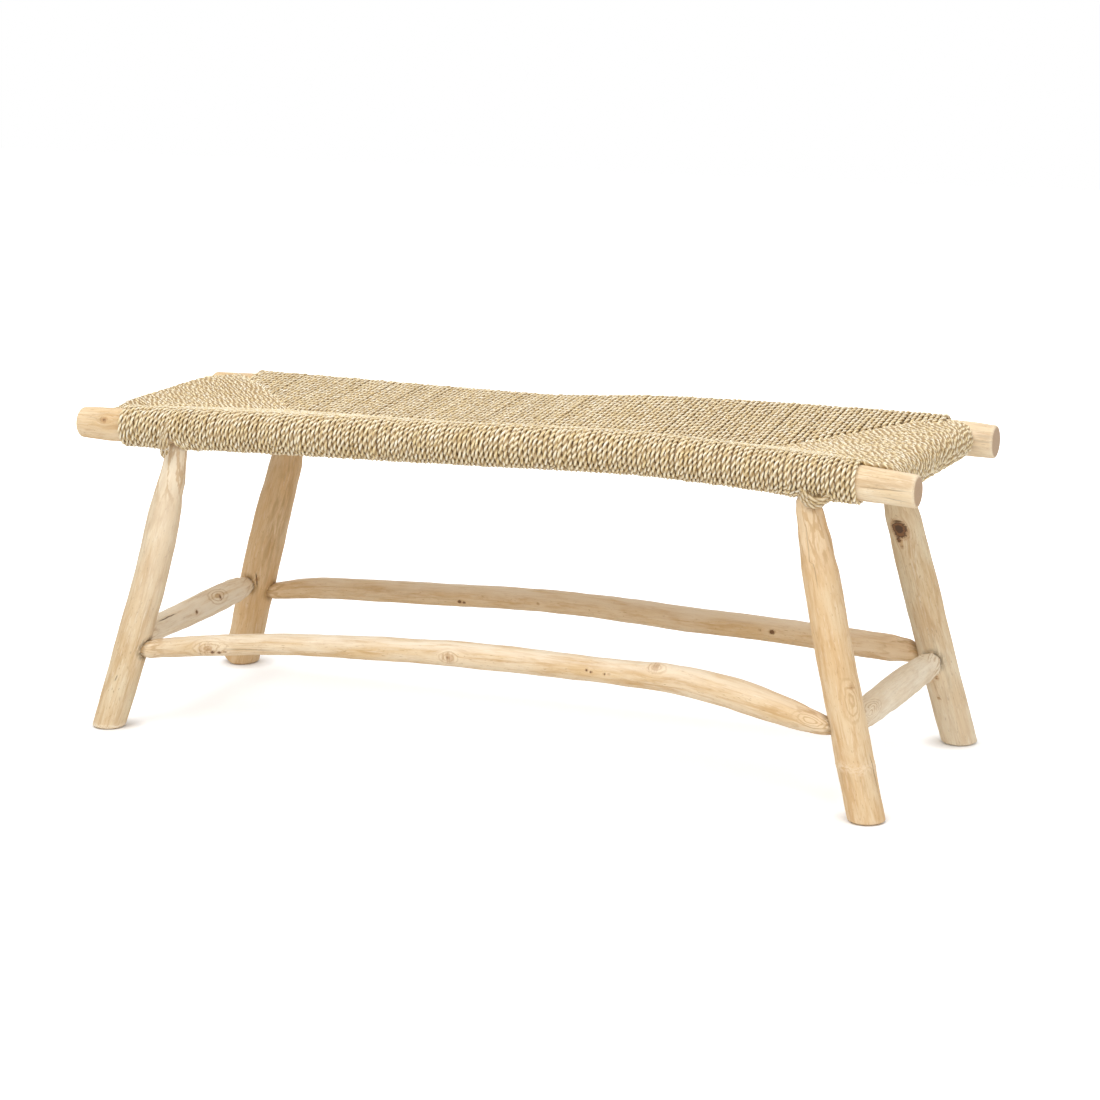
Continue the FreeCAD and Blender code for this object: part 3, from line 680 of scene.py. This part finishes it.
def rope_piece(name, cords, first_number):
    """Lays a two-ply rope along each cord and stores what its material reads."""
    curve = bpy.data.curves.new(name, "CURVE")
    curve.dimensions = "3D"
    curve.bevel_mode = "OBJECT"
    curve.bevel_object = profile_object
    curve.twist_mode = "MINIMUM"
    fibre, groove_shade, dot_shade, rows, middles, outward, shades = [], [], [], [], [], [], []
    angles = np.radians([degrees for degrees, share in PLY_SHAPE])
    depths = np.array([(1 - share) / (1 - WAIST) for degrees, share in PLY_SHAPE])
    for number, cord in enumerate(cords):
        points, lay, phase, girth = cord["points"], cord["lay"], cord["phase"], cord["girth"]
        spline = curve.splines.new("POLY")
        spline.points.add(len(points) - 1)
        spline.points.foreach_set("co", np.c_[points * MM, np.ones(len(points))].astype(np.float32).ravel())
        along = np.r_[0, np.cumsum(np.linalg.norm(np.diff(points, axis=0), axis=1))]
        tilt = phase + 2 * math.pi * along / lay + np.cumsum(dice.normal(0, TWIST_WANDER, len(points)))
        spline.points.foreach_set("tilt", tilt.astype(np.float32))
        sizes = girth * (1 + np.clip(dice.normal(0, SIZE_WANDER, len(points)), -SIZE_MOST, SIZE_MOST))
        sizes[[0, -1]] = TIP_SIZE
        spline.points.foreach_set("radius", sizes.astype(np.float32))
        turned = (FIBRE_TWIST * tilt[:, None] + angles[None, :]).ravel()
        leaf = [ROPE_RADIUS * np.cos(turned), ROPE_RADIUS * np.sin(turned), np.repeat(along, len(angles))]
        fibre.append(np.stack(leaf, -1) + (first_number + number) * NEXT_CORD)
        groove_shade.append(cord["gap_shade"][0] * np.tile(depths, len(points)))
        out = np.cross(np.gradient(points, axis=0), cord["beside"])
        out = out / np.maximum(np.linalg.norm(out, axis=1), 0.1)[:, None]
        middles.append(np.repeat(points, len(angles), axis=0))
        shades.append(np.full(len(points) * len(angles), cord["shade"]))
        dot_shade.append(cord["gap_shade"][1] * np.tile(DOT_LEAST + (1 - DOT_LEAST) * depths, len(points)))
        outward.append(np.repeat(out, len(angles), axis=0))
        rows.append(np.full((len(points) - 1) * len(angles) * 4, number))
    rope = bpy.data.objects.new(name, curve)
    bpy.context.scene.collection.objects.link(rope)
    bpy.context.view_layer.update()
    dg = bpy.context.evaluated_depsgraph_get()
    mesh = bpy.data.meshes.new_from_object(rope.evaluated_get(dg), depsgraph=dg)
    bpy.data.objects.remove(rope)
    leaf = mesh.attributes.new("fibre", "FLOAT_VECTOR", "POINT")
    leaf.data.foreach_set("vector", np.concatenate(fibre).ravel())
    spots = np.zeros(len(mesh.vertices) * 3)
    mesh.vertices.foreach_get("co", spots)
    away = spots.reshape(-1, 3) / MM - np.concatenate(middles)
    # Painted shade: the ply grooves, the sunk sides of each wrap and any shade set for the cord darken its
    # colour.
    sunk = ROPE_RADIUS - (away * np.concatenate(outward)).sum(1)
    gap_shade = np.concatenate(groove_shade) + np.concatenate(dot_shade) * ramp(sunk, DOT_FROM, DOT_FULL)
    gap_shade = np.clip(np.maximum(gap_shade, np.concatenate(shades)), 0, 1)
    mesh.attributes.new("groove_shade", "FLOAT", "POINT").data.foreach_set("value", gap_shade)
    layer = mesh.uv_layers[0]
    layer.name = "OFBake"
    uv = np.zeros(len(mesh.loops) * 2, np.float32)
    layer.uv.foreach_get("vector", uv)
    uv = uv.reshape(-1, 2)
    uv[:, 0] = UV_EDGE + (1 - 2 * UV_EDGE) * uv[:, 0]
    uv[:, 1] = (np.concatenate(rows) + UV_GAP + (1 - 2 * UV_GAP) * uv[:, 1]) / len(cords)
    layer.uv.foreach_set("vector", uv.ravel())
    mesh.polygons.foreach_set("use_smooth", np.ones(len(mesh.polygons), bool))
    piece = bpy.data.objects.new(name, mesh)
    bpy.context.scene.collection.objects.link(piece)
    return piece


LAY_WANDER, LAY_MOST, GIRTH_WANDER = 0.1, 0.2, 0.03
THINNEST, THICKEST = 0.94, 1.16


def laid(line, usual_lay, beside, girth, gap_shade, shade=0.0):
    """A cord along a line, with its own lay, starting turn and girth; beside points to its neighbour."""
    lay = usual_lay * (1 + np.clip(dice.normal() * LAY_WANDER, -LAY_MOST, LAY_MOST))
    return dict(points=cord_points(line, lay / TURN_STEPS), lay=lay, phase=dice.uniform(0, 2 * math.pi),
                girth=girth * (1 + dice.normal() * GIRTH_WANDER), beside=beside, gap_shade=gap_shade, shade=shade)


def girths(places, fullness):
    """The share of the usual thickness at which each wrap fills its place beside its neighbours."""
    return np.clip(fullness * np.gradient(places) / (2 * ROPE_RADIUS), THINNEST, THICKEST)


LEG_CLEAR, PART_REACH, CROWD = 15.0, 52.0, 3.0
LEG_FRONT, PARTED_FULL = 6, 0.95
UNDER_NEAR, UNDER_FAR = 10, 75


def parted(place, line, rail, height, legs):
    """Pushes a wrap aside round the leg necks that stand under its rail, and thickens the crowd there."""
    shift = np.zeros(len(line))
    lift = np.zeros(len(line))
    turn = np.arctan2(line[:, 0] - rail, line[:, 1] - height) / math.pi
    below = (line[:, 1] < height) & (line[:, 0] <= rail)
    for leg, starts in legs:
        away = place - leg
        if abs(away) < PART_REACH:
            under = np.where(line[:, 0] > rail - LEG_FRONT, ramp(turn, starts, PARTED_FULL), 0)
            under = np.where(below, 1 - ramp(rail - line[:, 0], UNDER_NEAR, UNDER_FAR), under)
            near = 1 - abs(away) / PART_REACH
            shift = shift + under * math.copysign(LEG_CLEAR * near, away)
            lift = lift + under * near * dice.uniform(0, CROWD)
    return shift, lift


HALF_PITCH, LIFT, SEAM_SHORT, LINE_STEP = 3.3, 0.35, 3, 2.5
SWAY, SWAY_STOPS = 0.4, (0, 0.4, 1)


def swayed(count):
    """How far a wrap wanders sideways at each of its points, in mm."""
    return np.interp(np.linspace(0, 1, count), SWAY_STOPS, dice.normal(0, SWAY, len(SWAY_STOPS)))


def long_wraps(rail_branch, facing, places, legs, lay, fullness, gap_shade):
    """The wraps of a long rail; facing is -1 for the front and 1 for the back."""
    cords = []
    middle = rail_branch.centre(places)
    reach = rail_branch.radius(places) + CORD_RADIUS
    for place, (depth, height), radius, girth in zip(places, middle, reach, girths(places, fullness)):
        radius = radius + abs(dice.normal()) * LIFT
        rail = abs(depth)
        past = max(place - RIGHT_APEX, -place - LEFT_APEX, 0)
        seam = min(past, rail - radius - SEAM_SHORT)
        rise = seam / HALF_SEAT
        top = SEAM_TOP + (height + radius - SEAM_TOP) * rise
        low = SEAM_LOW + (height - radius - SEAM_LOW) * rise
        line = cord_points(wrap_line(seam, top, low, rail, height, radius), LINE_STEP)
        shift, lift = parted(place, line, rail, height, legs)
        out = line - np.array([rail, height])
        out = out / np.maximum(np.linalg.norm(out, axis=1), 1)[:, None]
        line = line + out * lift[:, None]
        sway = swayed(len(line))
        onward = HALF_PITCH * np.linspace(0, 1, len(line))
        line = np.stack([place + shift + sway + onward, facing * line[:, 0], line[:, 1]], -1)
        outer = place in (places[0], places[-1])
        cords.append(laid(line, lay, (-facing, 0, 0), girth, LOOSE_GAP_SHADE if outer else gap_shade))
    return cords


# The end rails are straight between these two of their CAD rings, past the noses that are let in.
STRAIGHT_PART = [11, -12]
END_RAIL, END_CROWN, FARTHEST_DIVE = 18.0, 4, 150
NARROW_FROM, NARROW_FULL = 90, 145
UNDER_SHARE, SPREAD_SHARE, TURN_SHARE = 0.92, 0.095, 0.4
SPREAD_FROM, SPREAD_FULL = 10, 24


def end_wraps(rail_name, apex, facing, places, narrowing, lay, fullness):
    """The wraps of a short rail; facing is -1 for the left end and 1 for the right."""
    rows = stations(rail_name, ALONG_Y)[STRAIGHT_PART]
    cords = []
    for place, girth in zip(places, girths(places, fullness)):
        at = np.array([place])
        height = smooth_through(at, rows[:, 0], rows[:, 1])[0]
        rail = abs(smooth_through(at, rows[:, 0], rows[:, 2])[0])
        narrowed = narrowing * ramp(abs(place), NARROW_FROM, NARROW_FULL)
        radius = END_RAIL - narrowed + CORD_RADIUS + abs(dice.normal()) * LIFT
        seam = apex + min(abs(place), FARTHEST_DIVE)
        rise = abs(place) / HALF_SEAT
        top = SEAM_TOP + (height + radius + END_CROWN - SEAM_TOP) * rise
        low = SEAM_LOW + (height - radius - SEAM_LOW) * rise
        line = cord_points(wrap_line(seam, top, low, rail, height, radius), LINE_STEP)
        sway = swayed(len(line))
        turning = radius * TURN_SHARE
        drawn_in = ramp(height + turning - line[:, 1], 0, radius)
        on_top = ramp(line[:, 1] - height, turning, radius)
        spread = on_top * ramp(line[:, 0] - seam, SPREAD_FROM, SPREAD_FULL)
        across = place * (1 - (1 - UNDER_SHARE) * drawn_in + SPREAD_SHARE * spread)
        line = np.stack([facing * line[:, 0], across + sway, line[:, 1]], -1)
        cords.append(laid(line, lay, (0, facing, 0), girth, END_GAP_SHADE))
    return cords


# Sea-grass rope: dry twisted leaf, cream and straw to brown, a little glossy on the crowns of the plies, with
# painted shade in the grooves between them and in the gaps between wraps, and fibres that run almost along
# the rope. They are drawn wider than real ones, so that they show.
def sea_grass():
    material = bpy.data.materials.new("sea_grass_two_ply_rope")
    material.use_nodes = True
    tree = material.node_tree
    shader = tree.nodes["Principled BSDF"]
    fibre = add(tree, "Attribute", {"attribute_name": "fibre"}, "Vector")
    groove_shade = add(tree, "Attribute", {"attribute_name": "groove_shade"}, "Fac")
    coats = {
        "straw": (5, 24, 2, 0.38, 0.6, 1.0, "EED8A4", None),
        "brown_leaf": (3.2, 8, 2, 0.5, 0.66, 0.55, "C29C58", None),
        "green_leaf": (6, 60, 1, 0.6, 0.75, 0.35, "CCBF8E", None),
        "strands": (1.1, 10, 3, 0.52, 0.72, 0.6, "B48F52", None),
        "pale_strands": (1.6, 9, 2, 0.48, 0.64, 0.9, "FFF9E8", None),
    }
    colour, shown = coated(tree, fibre, linear("FCEFCC"), coats, 0.0, {})
    # Painted shade: the grooves and gaps are darkened towards a deep brown.
    sunk = add(tree, "MapRange", SMOOTH, in_0=groove_shade, in_1=0.06, in_4=0.9)
    colour = add(tree, "Mix", BLEND, 2, in_0=sunk, in_6=colour, in_7=linear("9A7844"))
    tree.links.new(colour, shader.inputs["Base Color"])
    rough = add(tree, "MapRange", in_0=shown["strands"], in_2=0.65, in_3=0.45, in_4=0.65)
    tree.links.new(rough, shader.inputs["Roughness"])
    shader.inputs["Specular IOR Level"].default_value = 0.55
    bump = add(tree, "Bump", Strength=0.5, Distance=0.0005, Height=shown["strands"])
    tree.links.new(bump, shader.inputs["Normal"])
    return material


ROPE = sea_grass()
FRONT_WRAPS = spaced(-533.4, 521.4, (-350, -250, 0, 150, 280), (6.1, 6.5, 6.7, 7.1, 6.4))
BACK_WRAPS = spaced(-511.3, 534.1, (-50, 50, 300, 360), (6.6, 7.2, 7.2, 7.6))
END_PITCH, END_HALF = 6.6, 153
LEFT_WRAPS = spaced(-END_HALF, END_HALF, (0,), (END_PITCH,))
RIGHT_WRAPS = spaced(-END_HALF, END_HALF, (0,), (END_PITCH,))
FRONT_LAY, BACK_LAY, END_LAY = 20.0, 23.0, 16.5
# Where each leg's neck stands along its rail, and the share of a half turn at which wraps part for it
FRONT_LEGS = ((-451.8, 0.52), (454.1, 0.62))
BACK_LEGS = ((-452.5, 0.6), (453.4, 0.6))
FRONT, BACK = RAILS["front_seat_rail"], RAILS["back_seat_rail"]
PANELS = {
    "front_seat_panel": (3, long_wraps(
        FRONT, -1, FRONT_WRAPS, FRONT_LEGS, FRONT_LAY, fullness=1.04, gap_shade=ROLL_GAP_SHADE)),
    "back_seat_panel": (3, long_wraps(
        BACK, 1, BACK_WRAPS, BACK_LEGS, BACK_LAY, fullness=0.97, gap_shade=FLAT_GAP_SHADE)),
    "left_seat_panel": (1, end_wraps(
        "left_end_rail", LEFT_APEX, -1, LEFT_WRAPS, narrowing=5.0, lay=END_LAY, fullness=0.98)),
    "right_seat_panel": (1, end_wraps(
        "right_end_rail", RIGHT_APEX, 1, RIGHT_WRAPS, narrowing=0.0, lay=END_LAY, fullness=0.98)),
}


def hand_in(piece, *panels):
    """Gives a piece of rope its material, sets it on the root body and hides the CAD panels it stands for."""
    piece.data.materials.append(ROPE)
    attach(piece, "root")
    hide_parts(*panels)


# The rope's ends on the front rail: a short tail beside the left leg, and three turns drawn round the front
# of the right leg's neck.
LEFT_TAIL = (
    (-463, -186, 428), (-462, -197, 414), (-461, -199, 402), (-459.5, -198, 395), (-458.5, -196, 388))
RIGHT_TURN = (
    (447, -184, 410), (455, -192, 403), (464, -196, 398),
    (473, -195, 396), (481, -189, 399), (487, -178, 405))
# The loose ends are darkened with painted shade.
LOOSE_SHADE = 0.55
loose = [(LEFT_TAIL, (0, 0, 0)), (LEFT_TAIL, (5, -1, 5)), (LEFT_TAIL, (9, -1, 12))]
loose += [(RIGHT_TURN, (2.0 * turn, -1.0 * turn, 4.5 * turn)) for turn in range(3)]
for points, moved in loose:
    points = np.array(points) + np.array(moved)
    stops = np.arange(len(points))
    at = np.linspace(0, len(points) - 1, ARC_STEPS)
    line = np.stack([smooth_through(at, stops, points[:, k]) for k in range(3)], -1)
    PANELS["front_seat_panel"][1].append(laid(line, FRONT_LAY, (1, 0, 0), 1.0, LOOSE_GAP_SHADE, LOOSE_SHADE))

# Between the upper and lower wraps the rope crosses the seat from end to end as it goes from rail to rail,
# and packs the seat; these runs show only deep in the gaps, as cord darkened with painted shade.
PACKING_CLEAR, PACKING_HALF, PACKING_PITCH, PACKING_POINTS = 24, 139.0, 6.2, 130
PACKING_LAY, PACKING_SHADE, PACKING_NUMBER = 64.0, 0.75, 900
PACKING_THIN, THIN_NEAR, THIN_FAR = 0.35, 4, 26
packing = []
ends = {side: stations(f"{side}_end_rail", ALONG_Y) for side in ("left", "right")}
start, finish = ends["left"][:, 2].mean() + PACKING_CLEAR, ends["right"][:, 2].mean() - PACKING_CLEAR
for across in np.arange(-PACKING_HALF, PACKING_HALF + 1, PACKING_PITCH):
    x = np.linspace(start, finish, PACKING_POINTS)
    rail = FRONT if across < 0 else BACK
    from_seam = np.abs(across) / HALF_SEAT
    from_apex = np.clip(np.maximum(x - RIGHT_APEX, -x - LEFT_APEX) / HALF_SEAT, 0, 1)
    end_height = np.where(x < 0, ends["left"][:, 1].mean(), ends["right"][:, 1].mean())
    height = np.where(from_seam > from_apex, rail.centre(x)[:, 1], end_height)
    seam_height = (SEAM_TOP + SEAM_LOW) / 2
    z = seam_height + (height - seam_height) * np.maximum(from_seam, from_apex)
    points = np.stack([x, np.full(len(x), across) + dice.normal(0, SWAY, len(x)), z], -1)
    thin = PACKING_THIN + (1 - PACKING_THIN) * ramp(abs(across), THIN_NEAR, THIN_FAR)
    packing.append(dict(points=points, lay=PACKING_LAY, phase=dice.uniform(0, 6), girth=thin,
                        beside=(0, 1, 0), gap_shade=LOOSE_GAP_SHADE, shade=PACKING_SHADE))
hand_in(rope_piece("seat_packing_rope", packing, PACKING_NUMBER), *PANELS)

# Here and there a stray end of leaf stands out of the rope.
STRAYS = {"front_seat_panel": 45, "back_seat_panel": 40, "left_seat_panel": 14, "right_seat_panel": 14}
STRAY_POINTS, STRAY_ROOT, STRAY_LEAST, STRAY_MOST, STRAY_BEND = 6, 2.6, 2.0, 6.0, 3.0
STRAY_LAY, STRAY_GIRTH, STRAY_SHADE, STRAY_NUMBER = 40.0, 0.08, 0.2, 1200
strays = []
for panel, count in STRAYS.items():
    cords = PANELS[panel][1]
    for pick in dice.integers(0, len(cords) - len(loose), count):
        points, beside = cords[pick]["points"], cords[pick]["beside"]
        at = dice.integers(len(points) // 6, len(points) // 2)
        run = points[at + 1] - points[at - 1]
        out = np.cross(run, beside)
        out = out / np.linalg.norm(out)
        bend = dice.normal(0, STRAY_BEND, 3)
        rise = np.linspace(0, 1, STRAY_POINTS)[:, None]
        height = STRAY_ROOT + dice.uniform(STRAY_LEAST, STRAY_MOST) * rise
        line = points[at] + out * height + bend * rise ** 2 + run * rise
        strays.append(dict(points=line, lay=STRAY_LAY, phase=0.0, girth=STRAY_GIRTH, beside=beside,
                           gap_shade=LOOSE_GAP_SHADE, shade=STRAY_SHADE))
hand_in(rope_piece("seat_stray_leaf", strays, STRAY_NUMBER), *PANELS)
number = 0
for panel, (parts, cords) in PANELS.items():
    for part in range(parts):
        share = cords[part * len(cords) // parts:(part + 1) * len(cords) // parts]
        hand_in(rope_piece(f"{panel}_rope_{part + 1}", share, number), panel)
        number += len(share)
bpy.data.objects.remove(profile_object)

# Studio
# A white floor that runs into a white surround, a large soft lamp high in front on the left, a smaller one
# low on the right, a wide one overhead and an even fill, so the bench keeps only small shadows at its feet,
# deepened by painted contact shadow on the floor.

FLOOR_HALF, FLOOR_NEAR, FLOOR_FAR, FLOOR_LIFT = 8, 1.0, 2.2, 0.46
SHADOW_REACH, SHADOW_DEPTH = 0.03, 2.5
floor_shape = bmesh.new()
bmesh.ops.create_grid(floor_shape, x_segments=2, y_segments=2, size=FLOOR_HALF)
floor_mesh = bpy.data.meshes.new("floor")
floor_shape.to_mesh(floor_mesh)
floor_shape.free()
floor = bpy.data.objects.new("floor", floor_mesh)
bpy.context.scene.collection.objects.link(floor)
paper = bpy.data.materials.new("white_paper_sweep")
paper.use_nodes = True
tree = paper.node_tree
shader = tree.nodes["Principled BSDF"]
shader.inputs["Base Color"].default_value = linear("F4F4F4")
shader.inputs["Roughness"].default_value = 0.9
shader.inputs["Specular IOR Level"].default_value = 0.0
shader.inputs["Emission Color"].default_value = (1, 1, 1, 1)
seen = add(tree, "LightPath", None, "Is Camera Ray")
spot = add(tree, "NewGeometry", None, "Position")
distance = add(tree, "VectorMath", {"operation": "LENGTH"}, "Value", in_0=spot)
whiten = add(tree, "MapRange", in_0=distance, in_1=FLOOR_NEAR, in_2=FLOOR_FAR, in_3=FLOOR_LIFT)
# Painted contact shadow: the floor's lift fades where ambient occlusion finds the feet close by.
open_air = add(tree, "AmbientOcclusion", {"samples": 8}, "AO", Distance=SHADOW_REACH)
open_air = add(tree, "Math", {"operation": "POWER"}, in_0=open_air, in_1=SHADOW_DEPTH)
whiten = add(tree, "Math", TIMES, in_0=whiten, in_1=open_air)
lift = add(tree, "Math", TIMES, in_0=seen, in_1=whiten)
tree.links.new(lift, shader.inputs["Emission Strength"])
floor_mesh.materials.append(paper)

world = bpy.data.worlds.new("studio")
world.use_nodes = True
bpy.context.scene.world = world
tree = world.node_tree
camera_ray = add(tree, "LightPath", None, "Is Camera Ray")
glossy_ray = add(tree, "LightPath", None, "Is Glossy Ray")
through_ray = add(tree, "LightPath", None, "Is Transmission Ray")
direct = add(tree, "Math", {"operation": "MAXIMUM"}, in_0=camera_ray, in_1=glossy_ray)
direct = add(tree, "Math", {"operation": "MAXIMUM"}, in_0=direct, in_1=through_ray)
FILL = 0.48
level = add(tree, "MapRange", in_0=direct, in_3=FILL)
tree.nodes["Background"].inputs["Color"].default_value = (1, 1, 1, 1)
tree.links.new(level, tree.nodes["Background"].inputs["Strength"])

# Each lamp: where it hangs and its width, in metres, and its watts.
LAMPS = {
    "key": ((-0.9, -3.0, 3.4), 2.2, 70),
    "side": ((2.6, -2.4, 1.6), 1.6, 27),
    "top": ((0.2, 0.1, 3.4), 4.0, 66),
}
LAMP_AIM = Vector((0, 0, 0.3))
for name, (place, size, watts) in LAMPS.items():
    lamp = bpy.data.lights.new(name, "AREA")
    lamp.shape = "SQUARE"
    lamp.size = size
    lamp.energy = watts
    lamp_object = bpy.data.objects.new(name, lamp)
    bpy.context.scene.collection.objects.link(lamp_object)
    lamp_object.location = place
    toward = LAMP_AIM - lamp_object.location
    lamp_object.rotation_euler = toward.to_track_quat("-Z", "Y").to_euler()

AZIMUTH, ELEVATION = math.radians(23.56), math.radians(12.32)
CAMERA_PLACE = (1.62795, -3.66663, 1.13724)
SENSOR, PICTURE_WIDTH, FOCUS_IN_PIXELS = 36, 1100, 3000
level_share = math.cos(ELEVATION)
right = Vector((math.cos(AZIMUTH), math.sin(AZIMUTH), 0))
back = Vector((math.sin(AZIMUTH) * level_share, -math.cos(AZIMUTH) * level_share, math.sin(ELEVATION)))
up = back.cross(right)
camera = bpy.data.cameras.new("camera")
camera.sensor_width = SENSOR
camera.lens = FOCUS_IN_PIXELS / PICTURE_WIDTH * SENSOR
camera.clip_end = 100
camera_object = bpy.data.objects.new("camera", camera)
bpy.context.scene.collection.objects.link(camera_object)
turn = Matrix((right, up, back)).transposed().to_4x4()
camera_object.matrix_world = Matrix.Translation(CAMERA_PLACE) @ turn
bpy.context.scene.camera = camera_object
bpy.context.scene.view_settings.view_transform = "Standard"
